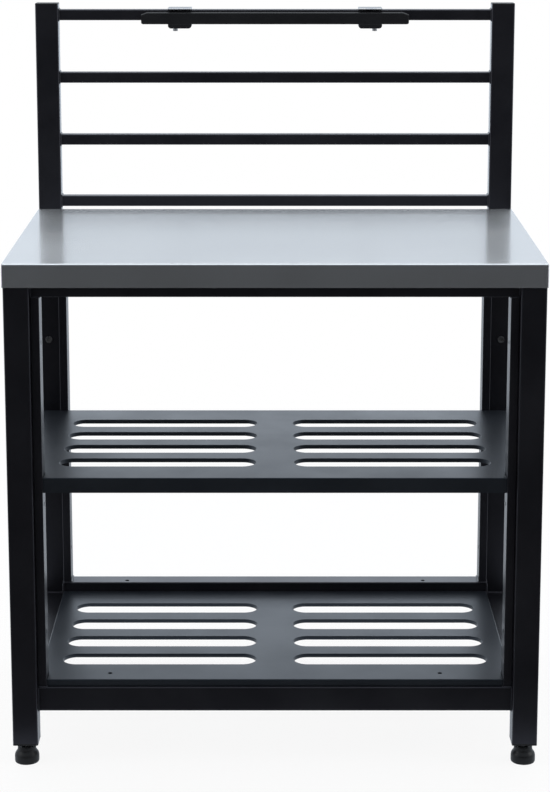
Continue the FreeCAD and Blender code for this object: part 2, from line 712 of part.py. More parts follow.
def make_clamp_screw(label, sign):
    """A knob under the clamp on a screw that reaches up to the rack bar."""
    body = new_body(label)
    knob = new_sketch(body, "XY_Plane")
    draw_circle(knob, 0, 0, "Sizes.clamp_knob")
    pad(body, knob, "Sizes.clamp_knob_height", reverse=True)
    shank = new_sketch(body, "XY_Plane")
    draw_circle(shank, 0, 0, "Sizes.clamp_screw")
    pad(body, shank, "Places.bar_under_z - Sizes.clamp_gap - Places.jaw_under_z")
    place(body, UP, f"{sign} * (Sizes.clamp_spacing / 2 + Sizes.clamp_screw_offset)",
          "Places.post_middle_y", "Places.jaw_under_z")


# Feet


def make_insert(label, x, y):
    """A threaded plug that closes the lower end of a leg."""
    body = new_body(label)
    plate = new_sketch(body, "XY_Plane")
    draw_rounded_rectangle(plate, "Sizes.leg_side", "Sizes.leg_side", "Sizes.leg_radius")
    pad(body, plate, "Sizes.insert_plate")
    plug = new_sketch(body, "XY_Plane", "Sizes.insert_plate")
    inside = "Sizes.leg_side - 2 * (Sizes.leg_wall + Sizes.insert_fit)"
    draw_rectangle(plug, inside, inside)
    pad(body, plug, "Sizes.insert_plug")
    drill(body, "XY_Plane", [(0, 0)], "Sizes.stud + 2 * Sizes.thread_gap")
    place(body, UP, x, y, "Places.leg_base_z")


def make_stud(label, x, y):
    """A threaded stud with a hexagon that sits on the glide."""
    grip = hexagon("Sizes.hexagon_height", x, y, "Sizes.glide_height")
    stud = fuse(grip, cylinder("Sizes.stud", "Sizes.stud_length", UP, x, y, "Sizes.glide_floor"))
    stud.Label = label
    nodes.append(stud)


def make_glide(label, x, y):
    """A round plastic glide with a conical top and a socket for the stud."""
    body = new_body(label)
    half = new_sketch(body, "XZ_Plane")
    rim, socket = "Sizes.glide / 2", "(Sizes.stud / 2 + Sizes.glide_fit)"
    draw_polygon(half, [(0, 0), (f"{rim} - Sizes.glide_edge", 0), (rim, "Sizes.glide_edge"),
                        (rim, "Sizes.glide_side"), ("Sizes.glide_collar / 2", "Sizes.glide_height"),
                        (socket, "Sizes.glide_height"), (socket, "Sizes.glide_floor"),
                        (0, "Sizes.glide_floor")])
    turned = body.newObject("PartDesign::Revolution", label + "_turned")
    turned.Profile = half
    turned.ReferenceAxis = (half, ["V_Axis"])
    doc.recompute()
    shoulder = value("Sizes.glide_side")
    round_edges(body, turned, "Sizes.glide_dome_radius",
                lambda edge: abs(edge.BoundBox.ZMin - shoulder) + abs(edge.BoundBox.ZMax - shoulder) < 0.01)
    place(body, UP, x, y, 0)


def make_feet():
    lock_nuts = []
    for corner, (x, y) in CORNERS.items():
        make_insert(f"foot_insert_{corner}", x, y)
        make_stud(f"foot_stud_{corner}", x, y)
        make_glide(f"foot_glide_{corner}", x, y)
        base = (x, y, "Sizes.glide_height + Sizes.hexagon_height")
        bore = cylinder("Sizes.stud + 2 * Sizes.thread_gap", "Sizes.lock_nut_height", UP, *base)
        lock_nuts.append(cut(hexagon("Sizes.lock_nut_height", *base), bore))
    group("foot_lock_nuts", lock_nuts)


# Assembly

make_worktop()
for name, offset in (("left", -1), ("middle", 0), ("right", 1)):
    make_stiffener(f"worktop_stiffener_{name}", offset)
for corner_name, (corner_x, corner_y) in CORNERS.items():
    make_leg(corner_name, corner_x, corner_y)
for end_name in ("front", "rear"):
    for side_name, side_sign in SIDES:
        make_upright(end_name, side_name, side_sign)
make_rails()
make_mid_shelf()
make_lower_shelf()
make_shelf_bolts()
make_rack()
make_rack_fixings()
make_tool_bar()
for side_name, side_sign in SIDES:
    make_clamp(f"bar_clamp_{side_name}", side_sign)
    make_clamp_screw(f"clamp_screw_{side_name}", side_sign)
make_feet()
doc.recompute()

# Checks, then one file for each node

for item in doc.Objects:
    if "Invalid" in item.State or "Error" in item.State:
        raise RuntimeError(f"{item.Label} did not compute: {item.State}")
for feature in pockets:
    if feature.Shape.Volume > feature.BaseFeature.Shape.Volume - 1e-6:
        raise RuntimeError(f"{feature.Label} cuts nothing")
for node in nodes:
    if node.Shape.isNull() or not node.Shape.isValid():
        raise RuntimeError(f"{node.Label} has no valid shape")

os.makedirs("parts", exist_ok=True)
for node in nodes:
    node.Shape.exportStep(f"parts/{node.Label}.step")
    print(node.Label, len(node.Shape.Solids), "solids", round(node.Shape.Volume / 1000, 2), "cm3")
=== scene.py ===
"""Finishes and finer pieces of the modular outdoor kitchen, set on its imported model.

Metres, +Z up, the front towards -Y, the floor at Z = 0.
"""

import json
import math

import bmesh
import bpy
from mathutils import Matrix, Vector


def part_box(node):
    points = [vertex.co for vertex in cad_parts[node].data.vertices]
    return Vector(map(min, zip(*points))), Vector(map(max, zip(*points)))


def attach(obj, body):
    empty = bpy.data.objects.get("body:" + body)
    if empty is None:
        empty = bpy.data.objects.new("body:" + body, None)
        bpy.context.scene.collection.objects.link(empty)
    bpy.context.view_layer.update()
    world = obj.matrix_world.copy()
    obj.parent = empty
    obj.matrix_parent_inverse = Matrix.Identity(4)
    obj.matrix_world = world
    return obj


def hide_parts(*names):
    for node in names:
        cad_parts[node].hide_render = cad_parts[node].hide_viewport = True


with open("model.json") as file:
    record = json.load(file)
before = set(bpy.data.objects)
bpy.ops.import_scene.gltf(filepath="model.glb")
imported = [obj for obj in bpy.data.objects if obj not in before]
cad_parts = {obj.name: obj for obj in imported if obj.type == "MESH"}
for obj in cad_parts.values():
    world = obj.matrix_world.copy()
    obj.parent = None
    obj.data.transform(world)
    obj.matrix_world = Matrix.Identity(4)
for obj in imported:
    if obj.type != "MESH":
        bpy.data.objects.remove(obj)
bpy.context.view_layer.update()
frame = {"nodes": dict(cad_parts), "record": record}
scene = bpy.context.scene
scene.view_settings.view_transform = "Standard"

SIDES = (("left", -1), ("right", 1))
CORNERS = [f"{end}_{side}" for end in ("front", "rear") for side in ("left", "right")]
TO_REAR = Matrix.Rotation(math.radians(-90), 4, "X")
TO_FRONT = Matrix.Rotation(math.radians(90), 4, "X")
NEAR = 1e-5  # points closer than this share a place
FACING = 0.7  # a face looks along an axis when its normal has more than this of it
LEVEL = 0.99  # a face is level when its normal has more than this of Z
ROUND_STEPS = 48  # sides of a turned shape
SCREW_STEPS = 24  # sides of bolts, screws and small holes

# Node groups that the finishes share

LINE_STRETCH = 0.012  # how much slower a brushed line changes along its run


def add(tree, kind, links=None, values=None, **settings):
    """A shader node with its settings, its plain values and its incoming links."""
    made = tree.nodes.new("ShaderNode" + kind)
    for key, setting in settings.items():
        setattr(made, key, setting)
    for socket, number in (values or {}).items():
        made.inputs[socket].default_value = number
    for socket, source in (links or {}).items():
        tree.links.new(source, made.inputs[socket])
    return made


def new_group(name, inputs, outputs):
    """An empty node group with plain number sockets, and its two end nodes."""
    tree = bpy.data.node_groups.new(name, "ShaderNodeTree")
    for label, start in inputs.items():
        socket = tree.interface.new_socket(label, in_out="INPUT", socket_type="NodeSocketFloat")
        socket.default_value = start
    for label in outputs:
        tree.interface.new_socket(label, in_out="OUTPUT", socket_type="NodeSocketFloat")
    given, out = tree.nodes.new("NodeGroupInput"), tree.nodes.new("NodeGroupOutput")
    return tree, given.outputs, out.inputs


def coat_group():
    """Orange-peel height of a baked coat, and the slow unevenness of its gloss."""
    tree, given, out = new_group("coat_surface", {"Peel Scale": 700.0, "Cloud Scale": 9.0},
                                 ("Peel", "Cloud"))
    place = add(tree, "TexCoord").outputs["Object"]
    peel = add(tree, "TexNoise", {"Vector": place, "Scale": given["Peel Scale"]},
               {"Detail": 2.0, "Roughness": 0.45})
    cloud = add(tree, "TexNoise", {"Vector": place, "Scale": given["Cloud Scale"]},
                {"Detail": 5.0, "Roughness": 0.6})
    spread = add(tree, "MapRange", {"Value": cloud.outputs["Fac"]},
                 {"From Min": 0.3, "From Max": 0.7})
    tree.links.new(peel.outputs["Fac"], out["Peel"])
    tree.links.new(spread.outputs["Result"], out["Cloud"])
    return tree


def rub_highlight_and_dust_group():
    """Edge marks and dust: lighter edges, partly rubbed wear and partly a painted highlight along
    every edge, and thin dust that gathers in patches.
    """
    tree, given, out = new_group("edge_rubs_highlights_and_dust", {"Edge Width": 0.0015, "Patch Scale": 5.0},
                                 ("Edge", "Dust"))
    place = add(tree, "TexCoord").outputs["Object"]
    rounded = add(tree, "Bevel", {"Radius": given["Edge Width"]}, samples=6)
    flat = add(tree, "NewGeometry").outputs["Normal"]
    likeness = add(tree, "VectorMath", {0: rounded.outputs["Normal"], 1: flat},
                   operation="DOT_PRODUCT")
    edge = add(tree, "MapRange", {"Value": likeness.outputs["Value"]},
               {"From Min": 0.985, "From Max": 0.86})
    broken = add(tree, "TexNoise", {"Vector": place}, {"Scale": 120.0, "Detail": 3.0})
    # The edge mask stands partly for rubbed wear and partly for a painted highlight on the rounded
    # edges.
    worn_and_highlit_edge = add(tree, "Math", {0: edge.outputs["Result"], 1: broken.outputs["Fac"]},
               operation="MULTIPLY")
    patch = add(tree, "TexNoise", {"Vector": place, "Scale": given["Patch Scale"]},
                {"Detail": 6.0, "Roughness": 0.65})
    dust = add(tree, "MapRange", {"Value": patch.outputs["Fac"]},
               {"From Min": 0.45, "From Max": 0.85})
    tree.links.new(worn_and_highlit_edge.outputs["Value"], out["Edge"])
    tree.links.new(dust.outputs["Result"], out["Dust"])
    return tree


def brush_group():
    """Brushed lines along X, which run down the end aprons as the folded sheet's do."""
    tree, given, out = new_group("brushed_lines", {"Line Scale": 420.0}, ("Lines", "Streaks"))
    place = add(tree, "TexCoord").outputs["Object"]
    facing = add(tree, "SeparateXYZ", {"Vector": add(tree, "NewGeometry").outputs["Normal"]})
    aside = add(tree, "Math", {0: facing.outputs["X"]}, operation="ABSOLUTE")
    on_end = add(tree, "Math", {0: aside.outputs["Value"]}, {1: FACING}, operation="GREATER_THAN")

    def stretched(scale, fine):
        """Noise drawn out along one axis; the fine one follows the group's own scale."""
        along = add(tree, "Mapping", {"Vector": place}, {"Scale": scale})
        links, values = {"Vector": along.outputs["Vector"]}, {"Roughness": 0.6}
        if fine:
            links["Scale"], values["Detail"] = given["Line Scale"], 3.0
        else:
            values["Scale"], values["Detail"] = 60.0, 4.0
        return add(tree, "TexNoise", links, values).outputs["Fac"]

    for label, fine in (("Lines", True), ("Streaks", False)):
        both = add(tree, "Mix", {"Factor": on_end.outputs["Value"],
                                 "A": stretched((LINE_STRETCH, 1.0, 1.0), fine),
                                 "B": stretched((1.0, 1.0, LINE_STRETCH), fine)}, data_type="FLOAT")
        tree.links.new(both.outputs["Result"], out[label])
    return tree


COAT, RUBS_AND_HIGHLIGHTS, BRUSH = coat_group(), rub_highlight_and_dust_group(), brush_group()

# Finishes

DUST_SHARE = 0.12  # most of a coat's colour that dust takes over
DUST_DULLING = 0.05  # most that dust adds to a coat's roughness
PEEL_STRENGTH = 0.35
MIX_COLOURS, MIX_RESULT = (6, 7), 2  # sockets of a mix of two colours


def new_finish(name, **values):
    """A material with its shader, ready for links; the values go straight on the sockets."""
    finish = bpy.data.materials.new(name)
    finish.use_nodes = True
    shader = finish.node_tree.nodes["Principled BSDF"]
    for label, number in values.items():
        shader.inputs[label.replace("_", " ")].default_value = number
    return finish, finish.node_tree, shader


def place_group(tree, group, **values):
    """A shared group set into a material; gives its outputs."""
    made = tree.nodes.new("ShaderNodeGroup")
    made.node_tree = group
    for label, number in values.items():
        made.inputs[label.replace("_", " ")].default_value = number
    return made.outputs


def blend(tree, amount, first, second):
    """One colour turning into another by a mask; a colour may be a link."""
    mix = add(tree, "Mix", {"Factor": amount}, data_type="RGBA")
    for label, colour in zip(MIX_COLOURS, (first, second)):
        if isinstance(colour, tuple):
            mix.inputs[label].default_value = (*colour, 1.0)
        else:
            tree.links.new(colour, mix.inputs[label])
    return mix.outputs[MIX_RESULT]


def scaled(tree, source, low, high):
    """A mask spread over a range of values."""
    spread = add(tree, "MapRange", {"Value": source}, {"To Min": low, "To Max": high})
    return spread.outputs["Result"]


def plus(tree, first, second):
    """The sum of two values."""
    return add(tree, "Math", {0: first, 1: second}, operation="ADD").outputs["Value"]


def bump(tree, shader, height, strength, distance):
    """Fine relief on a shader's normal."""
    raised = add(tree, "Bump", {"Height": height}, {"Strength": strength, "Distance": distance})
    tree.links.new(raised.outputs["Normal"], shader.inputs["Normal"])


def coated(name, dark, light, rubbed_and_highlit, dusty, roughness, peel_scale, peel_depth, edge_width,
           **values):
    """A baked black coat: cloudy colour and gloss, orange peel, lighter edges that are partly
    rubbed wear and partly a painted highlight, and a little dust.
    """
    finish, tree, shader = new_finish(name, **values)
    coat = place_group(tree, COAT, Peel_Scale=peel_scale)
    rubs_highlights_and_dust = place_group(tree, RUBS_AND_HIGHLIGHTS, Edge_Width=edge_width)
    colour = blend(tree, coat["Cloud"], dark, light)
    # Lighter colour along the edges: partly rubbed wear, partly a painted highlight.
    colour = blend(tree, rubs_highlights_and_dust["Edge"], colour, rubbed_and_highlit)
    colour = blend(tree, scaled(tree, rubs_highlights_and_dust["Dust"], 0.0, DUST_SHARE), colour, dusty)
    tree.links.new(colour, shader.inputs["Base Color"])
    rough = scaled(tree, coat["Cloud"], *roughness)
    rough = plus(tree, rough, scaled(tree, rubs_highlights_and_dust["Dust"], 0.0, DUST_DULLING))
    tree.links.new(rough, shader.inputs["Roughness"])
    bump(tree, shader, coat["Peel"], PEEL_STRENGTH, peel_depth)
    return finish


def stainless_finish():
    """Brushed stainless sheet: fine lines, soft streaks and faint wiped patches."""
    dark, bright, streak = (0.47, 0.474, 0.48), (0.52, 0.524, 0.53), (0.49, 0.495, 0.50)
    streak_share, roughness, wiping = 0.3, (0.238, 0.256), 0.012
    finish, tree, shader = new_finish("brushed_stainless", Metallic=1.0, Anisotropic=0.96)
    lines = place_group(tree, BRUSH)
    coat = place_group(tree, COAT, Cloud_Scale=3.5)
    colour = blend(tree, lines["Lines"], dark, bright)
    colour = blend(tree, scaled(tree, lines["Streaks"], 0.0, streak_share), colour, streak)
    tree.links.new(colour, shader.inputs["Base Color"])
    rough = scaled(tree, lines["Streaks"], *roughness)
    rough = plus(tree, rough, scaled(tree, coat["Cloud"], -wiping, wiping))
    tree.links.new(rough, shader.inputs["Roughness"])
    across = add(tree, "Tangent", direction_type="UV_MAP", uv_map="across")
    tree.links.new(across.outputs["Tangent"], shader.inputs["Tangent"])
    return finish


def channel_finish():
    """Plain mill finish of the channels under the worktop."""
    dark, bright, roughness = (0.42, 0.43, 0.44), (0.58, 0.59, 0.60), (0.32, 0.46)
    finish, tree, shader = new_finish("mill_stainless", Metallic=1.0)
    lines = place_group(tree, BRUSH, Line_Scale=400.0)
    tree.links.new(blend(tree, lines["Streaks"], dark, bright), shader.inputs["Base Color"])
    tree.links.new(scaled(tree, lines["Lines"], *roughness), shader.inputs["Roughness"])
    bump(tree, shader, lines["Lines"], strength=0.1, distance=0.0001)
    return finish


def zinc_finish():
    """Zinc plate with a faint blue and yellow cast, and lighter edges that are partly rubbed wear
    and partly painted glints.
    """
    bluish, yellowish, rubbed_and_highlit = (0.20, 0.21, 0.235), (0.31, 0.30, 0.285), (0.52, 0.53, 0.55)
    roughness = (0.22, 0.38)
    finish, tree, shader = new_finish("zinc_plate", Metallic=1.0)
    coat = place_group(tree, COAT, Peel_Scale=1600.0, Cloud_Scale=160.0)
    rubs_highlights_and_dust = place_group(tree, RUBS_AND_HIGHLIGHTS, Edge_Width=0.0006, Patch_Scale=90.0)
    colour = blend(tree, coat["Cloud"], bluish, yellowish)
    # Lighter colour along the edges: partly rubbed wear, partly painted glints.
    colour = blend(tree, rubs_highlights_and_dust["Edge"], colour, rubbed_and_highlit)
    tree.links.new(colour, shader.inputs["Base Color"])
    tree.links.new(scaled(tree, coat["Cloud"], *roughness), shader.inputs["Roughness"])
    bump(tree, shader, coat["Peel"], strength=0.15, distance=0.00006)
    return finish


# Each coat's lighter edge colour is partly rubbed wear and partly a painted highlight along its
# edges.
FRAME_COAT = coated(
    "frame_powder_coat", dark=(0.0034, 0.0034, 0.0046), light=(0.0056, 0.0056, 0.0070),
    rubbed_and_highlit=(0.017, 0.017, 0.019), dusty=(0.035, 0.035, 0.035), roughness=(0.31, 0.37),
    peel_scale=820.0, peel_depth=0.00010, edge_width=0.0015,
    Specular_IOR_Level=0.40, Specular_Tint=(0.88, 0.87, 1.0, 1.0))
SHELF_COAT = coated(
    "shelf_powder_coat", dark=(0.0050, 0.0062, 0.0085), light=(0.0075, 0.0090, 0.0120),
    rubbed_and_highlit=(0.020, 0.022, 0.026), dusty=(0.04, 0.04, 0.04), roughness=(0.34, 0.40),
    peel_scale=1100.0, peel_depth=0.00005, edge_width=0.0012,
    Specular_IOR_Level=0.50, Specular_Tint=(0.78, 0.87, 1.0, 1.0))
BAR_COAT = coated(
    "tool_bar_coat", dark=(0.0050, 0.0050, 0.0060), light=(0.0075, 0.0076, 0.0088),
    rubbed_and_highlit=(0.060, 0.061, 0.064), dusty=(0.03, 0.03, 0.03), roughness=(0.40, 0.50),
    peel_scale=1400.0, peel_depth=0.00006, edge_width=0.0012, Specular_IOR_Level=0.22)
PLASTIC = coated(
    "moulded_plastic", dark=(0.0045, 0.0045, 0.0048), light=(0.0070, 0.0070, 0.0074),
    rubbed_and_highlit=(0.014, 0.014, 0.014), dusty=(0.03, 0.03, 0.03), roughness=(0.34, 0.44),
    peel_scale=1900.0, peel_depth=0.00008, edge_width=0.0008, Specular_IOR_Level=0.22)
STAINLESS, CHANNEL, ZINC = stainless_finish(), channel_finish(), zinc_finish()

NODE_FINISH = {"black_frame": FRAME_COAT, "black_shelf": SHELF_COAT, "stainless": CHANNEL,
               "zinc_steel": ZINC, "black_bar": BAR_COAT, "black_plastic": PLASTIC}
for subpart in frame["record"]["subparts"]:
    for slot in frame["nodes"][subpart["node"]].material_slots:
        slot.material = NODE_FINISH[subpart["material_slot"]]

# Shape helpers

FLAT_WEIGHT = 80  # how much the large faces rule the shading of their corners
MOSTLY = 0.9  # share of an edge's length that lies along its axis


def finish_piece(bm, name, finish, body="frame", stands_for=(), sharp=38, sheet=None):
    """Turn a shape, or a skin and its sheet thickness, into a piece that moves with a body."""
    mesh = bpy.data.meshes.new(name)
    bm.to_mesh(mesh)
    bm.free()
    mesh.materials.append(finish)
    mesh.shade_smooth()
    mesh.set_sharp_from_angle(angle=math.radians(sharp))
    piece = bpy.data.objects.new(name, mesh)
    scene.collection.objects.link(piece)
    if sheet:
        wall = piece.modifiers.new("sheet", "SOLIDIFY")
        wall.thickness, wall.offset, wall.use_even_offset = sheet, -1.0, True
    flats = piece.modifiers.new("flats", "WEIGHTED_NORMAL")
    flats.keep_sharp, flats.weight = True, FLAT_WEIGHT
    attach(piece, body)
    if stands_for:
        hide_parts(*stands_for)


def join(bm, part, placed=Matrix()):
    """Add a finished part to a shape, in its place."""
    carrier = bpy.data.meshes.new("carrier")
    part.to_mesh(carrier)
    part.free()
    carrier.transform(placed)
    bm.from_mesh(carrier)
    bpy.data.meshes.remove(carrier)


def block(low, high):
    """A straight-sided start shape between two corners."""
    bm = bmesh.new()
    low, high = Vector(low), Vector(high)
    stretch = Matrix.Diagonal((*(high - low), 1.0))
    bmesh.ops.create_cube(bm, size=1.0, matrix=Matrix.Translation((low + high) / 2) @ stretch)
    return bm


def bevel(bm, edges, width, segments):
    """Ease edges with a round of some segments; one segment makes a chamfer."""
    bmesh.ops.bevel(bm, geom=list(edges), offset=width, offset_type="OFFSET", segments=segments,
                    profile=0.5, affect="EDGES", material=-1, clamp_overlap=True)


def runs_along(edge, axis):
    """Whether an edge lies along X, Y or Z, numbered from 0."""
    step = edge.verts[1].co - edge.verts[0].co
    return abs(step[axis]) > MOSTLY * step.length


def sharp_edges(bm, degrees=30):
    """The edges between two faces that meet at more than an angle."""
    return [e for e in bm.edges
            if len(e.link_faces) == 2 and e.calc_face_angle() > math.radians(degrees)]


def ring(bm, steps, radius, placed=Matrix()):
    """The edges of a circle in its place."""
    made = bmesh.ops.create_circle(bm, cap_ends=False, segments=steps, radius=radius, matrix=placed)
    return list(dict.fromkeys(e for v in made["verts"] for e in v.link_edges))


def spun(profile, steps=ROUND_STEPS):
    """A turned shape about Z from a profile of radius and height pairs."""
    bm = bmesh.new()
    points = [bm.verts.new((radius, 0.0, height)) for radius, height in profile]
    edges = [bm.edges.new(pair) for pair in zip(points, points[1:])]
    bmesh.ops.spin(bm, geom=points + edges, cent=(0, 0, 0), axis=(0, 0, 1), dvec=(0, 0, 0),
                   angle=2 * math.pi, steps=steps, use_merge=True, use_duplicate=False)
    bmesh.ops.remove_doubles(bm, verts=bm.verts, dist=NEAR)
    bmesh.ops.recalc_face_normals(bm, faces=bm.faces)
    return bm


def extruded(bm, edges, drop=(0, 0, 0)):
    """Pull a row of edges out into new faces; gives the new row and its points."""
    made = bmesh.ops.extrude_edge_only(bm, edges=edges)["geom"]
    points = [item for item in made if isinstance(item, bmesh.types.BMVert)]
    fresh = set(points)
    bmesh.ops.translate(bm, verts=points, vec=drop)
    rows = [item for item in made if isinstance(item, bmesh.types.BMEdge)]
    return [e for e in rows if set(e.verts) <= fresh], points


def capsule(start, end, radius):
    """A round-ended bead between two points."""
    bm = bmesh.new()
    start, end = Vector(start), Vector(end)
    way = end - start
    made = bmesh.ops.create_uvsphere(bm, u_segments=12, v_segments=7, radius=radius)["verts"]
    bmesh.ops.translate(bm, verts=[v for v in made if v.co.z > 0], vec=(0, 0, way.length))
    turn = way.to_track_quat("Z", "Y").to_matrix().to_4x4()
    bmesh.ops.transform(bm, matrix=Matrix.Translation(start) @ turn, verts=made)
    return bm


def hexagon(flats, low, high, chamfer):
    """A hexagonal nut or collar about Z with eased corners."""
    bm = bmesh.new()
    across = flats / 2 / math.cos(math.radians(30))
    bmesh.ops.create_cone(bm, cap_ends=True, segments=6, radius1=across, radius2=across,
                          depth=high - low, matrix=Matrix.Translation((0, 0, (low + high) / 2)))
    bevel(bm, bm.edges, chamfer, segments=3)
    return bm


# Worktop

WORKTOP_SHEET = 0.0012
WORKTOP_FOLD = 0.0024


def across_map(bm):
    """A map whose first direction lies across the brushing on every face of the pan."""
    across = bm.loops.layers.uv.new("across")
    for face in bm.faces:
        upright = abs(face.normal.y) > FACING
        on_end = abs(face.normal.x) > FACING
        for loop in face.loops:
            x, y, z = loop.vert.co
            loop[across].uv = (z, x) if upright else (y, z if on_end else x)


def make_worktop():
    """The pan, open below, with its four aprons folded down from one sheet."""
    low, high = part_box("worktop_pan")
    bm = block(low, high)
    under = [f for f in bm.faces if f.normal.z < -FACING]
    bmesh.ops.delete(bm, geom=under, context="FACES_ONLY")
    folds = [e for e in bm.edges
             if runs_along(e, 2) or all(v.co.z > high.z - NEAR for v in e.verts)]
    bevel(bm, folds, WORKTOP_FOLD, segments=5)
    across_map(bm)
    finish_piece(bm, "worktop_sheet", STAINLESS, stands_for=["worktop_pan"],
                 sheet=WORKTOP_SHEET)


# Shelves

SHELF_SHEET = 0.0015
SHELF_SKIN = SHELF_SHEET * 0.8  # the drawn skin is a little thinner than the sheet
FRONT_NOTCH = -0.2424  # behind the front uprights, where a tray grows wider
BETWEEN_UPRIGHTS = 0.3904  # half the room between the left and right uprights
SLOT_SPAN = (0.033, 0.3714)
SLOT_MIDDLE, SLOT_PITCH, SLOT_COUNT = -0.0524, 0.087, 4
SLOT_ROWS = [SLOT_MIDDLE + (row - (SLOT_COUNT - 1) / 2) * SLOT_PITCH for row in range(SLOT_COUNT)]
SLOT_RADIUS = 0.02475
SLOT_STEPS = 44
FOLD = 0.0013  # round of a tray's folded edge
ROLL = 0.0009  # round of a slot's rolled edge
HOLE_COLLAR = 0.0055
MODULE_HOLES = [(sign * 0.284, -0.2494, 0.004) for _, sign in SIDES]  # X, Y and radius


def quarter(radius, steps=5):
    """Reach and drop along a quarter round, from level to upright."""
    angles = [math.pi / 2 * step / steps for step in range(1, steps + 1)]
    return [(radius * math.sin(a), radius * (1 - math.cos(a))) for a in angles]


def tray_outline(bm, half_width, front, rear, level):
    """A tray's outline, narrow between the front uprights, drawn in by the round of its fold."""
    corners = [(BETWEEN_UPRIGHTS, front), (BETWEEN_UPRIGHTS, FRONT_NOTCH),
               (half_width, FRONT_NOTCH), (half_width, rear)]
    corners += [(-x, y) for x, y in reversed(corners)]
    points = [bm.verts.new((x - math.copysign(FOLD, x), y - math.copysign(FOLD, y), level))
              for x, y in corners]
    return [bm.edges.new(pair) for pair in zip(points, points[1:] + points[:1])]


def slot_edge(bm, start, end, y, level):
    """A long hole's edge: a circle whose right half is drawn out along X."""
    centre = start + SLOT_RADIUS
    turn = Matrix.Rotation(math.pi / SLOT_STEPS, 4, "Z")
    placed = Matrix.Translation((centre, y, level)) @ turn
    edges = ring(bm, SLOT_STEPS, SLOT_RADIUS + ROLL, placed)
    right = dict.fromkeys(v for e in edges for v in e.verts if v.co.x > centre)
    bmesh.ops.translate(bm, verts=list(right), vec=(end - start - 2 * SLOT_RADIUS, 0, 0))
    return edges


def roll_slot(bm, edges, start, end, y, collar):
    """Turn a slot's edge down into its collar."""
    near, far = start + SLOT_RADIUS, end - SLOT_RADIUS
    radius, depth = SLOT_RADIUS + ROLL, 0.0
    for reach, drop in quarter(ROLL, steps=4) + [(ROLL, collar)]:
        edges, points = extruded(bm, edges, (0, 0, depth - drop))
        aim = SLOT_RADIUS + ROLL - reach
        for centre in (near, far):
            half = [v for v in points if (v.co.x < (near + far) / 2) == (centre == near)]
            bmesh.ops.scale(bm, vec=(aim / radius, aim / radius, 1), verts=half,
                            space=Matrix.Translation((-centre, -y, 0)))
        radius, depth = aim, drop


def fold_lip(bm, edges, lip):
    """Turn the tray's outline down into its lip; gives the lip's lower edges."""
    last_reach, depth = 0.0, 0.0
    for reach, drop in quarter(FOLD) + [(FOLD, lip)]:
        edges, points = extruded(bm, edges, (0, 0, depth - drop))
        step = reach - last_reach
        for sign_x in (-1, 1):
            for sign_y in (-1, 1):
                corner = [v for v in points if v.co.x * sign_x > 0 and v.co.y * sign_y > 0]
                bmesh.ops.translate(bm, verts=corner, vec=(step * sign_x, step * sign_y, 0))
        last_reach, depth = reach, drop
    return edges


def make_shelf(node, name, half_width, lip, collar, holes=(), skirt=0.0):
    """A slotted tray; a skirt lets its side lips reach further down than its front and rear."""
    low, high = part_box(node)
    level = high.z
    bm = bmesh.new()
    outline = tray_outline(bm, half_width, low.y, high.y, level)
    slots = []
    for y in SLOT_ROWS:
        for start, end in (SLOT_SPAN, (-SLOT_SPAN[1], -SLOT_SPAN[0])):
            slots.append((slot_edge(bm, start, end, y, level), start, end, y))
    rims = [ring(bm, SCREW_STEPS, radius, Matrix.Translation((x, y, level)))
            for x, y, radius in holes]
    bmesh.ops.triangle_fill(bm, use_beauty=True, use_dissolve=False, edges=bm.edges[:],
                            normal=(0, 0, 1))
    for edges, start, end, y in slots:
        roll_slot(bm, edges, start, end, y, collar + SHELF_SHEET)
    for edges in rims:
        extruded(bm, edges, (0, 0, -HOLE_COLLAR))
    hem = fold_lip(bm, outline, lip)
    if skirt:
        sides = [e for e in hem if all(abs(v.co.x) > half_width - NEAR for v in e.verts)]
        extruded(bm, sides, (0, 0, -skirt))
    bmesh.ops.recalc_face_normals(bm, faces=bm.faces)
    if next(f for f in bm.faces if abs(f.normal.z) > LEVEL).normal.z < 0:
        bmesh.ops.reverse_faces(bm, faces=bm.faces)
    finish_piece(bm, name, SHELF_COAT, stands_for=[node], sharp=42,
                 sheet=SHELF_SKIN)


# Welds

WELD = 0.0021  # radius of a bead
WELD_INSET = 0.003  # how far a bead stops short of a tube's corner
NARROW_INSET = 0.002


def make_welds():
    """Small coated beads where the tubes of the frame and the rack meet."""
    runs = []
    for level in ("top", "upper", "lower", "bottom"):
        low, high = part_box(f"rack_bar_{level}")
        corners = [(low.y, low.z), (high.y, low.z), (high.y, high.z), (low.y, high.z)]
        for x in (low.x, high.x):
            runs += [((x, *a), (x, *b)) for a, b in zip(corners, corners[1:] + corners[:1])]
    for row in ("top", "bottom"):
        for side, _ in SIDES:
            low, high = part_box(f"{row}_rail_{side}")
            near, far = low.x + WELD_INSET, high.x - WELD_INSET
            runs += [((near, y, z), (far, y, z)) for y in (low.y, high.y) for z in (low.z, high.z)]
        for end in ("front", "rear"):
            low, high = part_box(f"{row}_rail_{end}")
            near, far = low.y + WELD_INSET, high.y - WELD_INSET
            for x in (low.x, high.x):
                runs += [((x, near, z), (x, far, z)) for z in (low.z, high.z)]
                runs.append(((x, low.y, low.z + WELD_INSET), (x, low.y, high.z - WELD_INSET)))
    for corner in CORNERS:
        low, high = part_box(f"upright_{corner}")
        inner = low.x if low.x > 0 else high.x
        for z in (low.z, high.z):
            runs.append(((inner, low.y + WELD_INSET, z), (inner, high.y - WELD_INSET, z)))
            runs.append(((low.x + NARROW_INSET, low.y, z), (high.x - NARROW_INSET, low.y, z)))
    bm = bmesh.new()
    for start, end in runs:
        join(bm, capsule(start, end, WELD))
    finish_piece(bm, "frame_welds", FRAME_COAT)


# Bolts, caps and plugs

